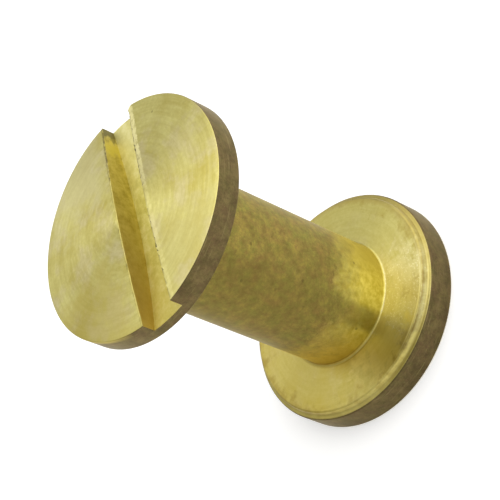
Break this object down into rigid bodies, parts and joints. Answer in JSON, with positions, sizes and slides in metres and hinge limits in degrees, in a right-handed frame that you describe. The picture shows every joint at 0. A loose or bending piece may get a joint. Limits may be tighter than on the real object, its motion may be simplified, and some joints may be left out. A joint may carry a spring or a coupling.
{
  "type": "chicago screw",
  "caption": "Two-piece turned brass fastener: a flat-headed barrel post with a tapped bore, closed by a screw with a shallow domed, slotted head.",
  "frame": {"origin": "centre of the outer face of the post's flat head, on which the part stands", "axes": "+Z along the common axis, from the post's head to the slotted head; the driver slot runs along X; Y completes the right-handed set"},
  "size_m": [0.0094, 0.0094, 0.0123],
  "materials": {
    "post_brass": "turned, tarnished on the barrel and rim",
    "screw_brass": "turned, bright on the face, tarnished on the rim"
  },
  "bodies": {
    "post": {"barrel_post": "post_brass"},
    "screw": {"slotted_screw": "screw_brass"}
  },
  "joints": [
    {"name": "screw_travel", "type": "slide", "parent": "post", "child": "screw", "axis": [0, 0, 1], "range_m": [0, 0.0063]}
  ]
}
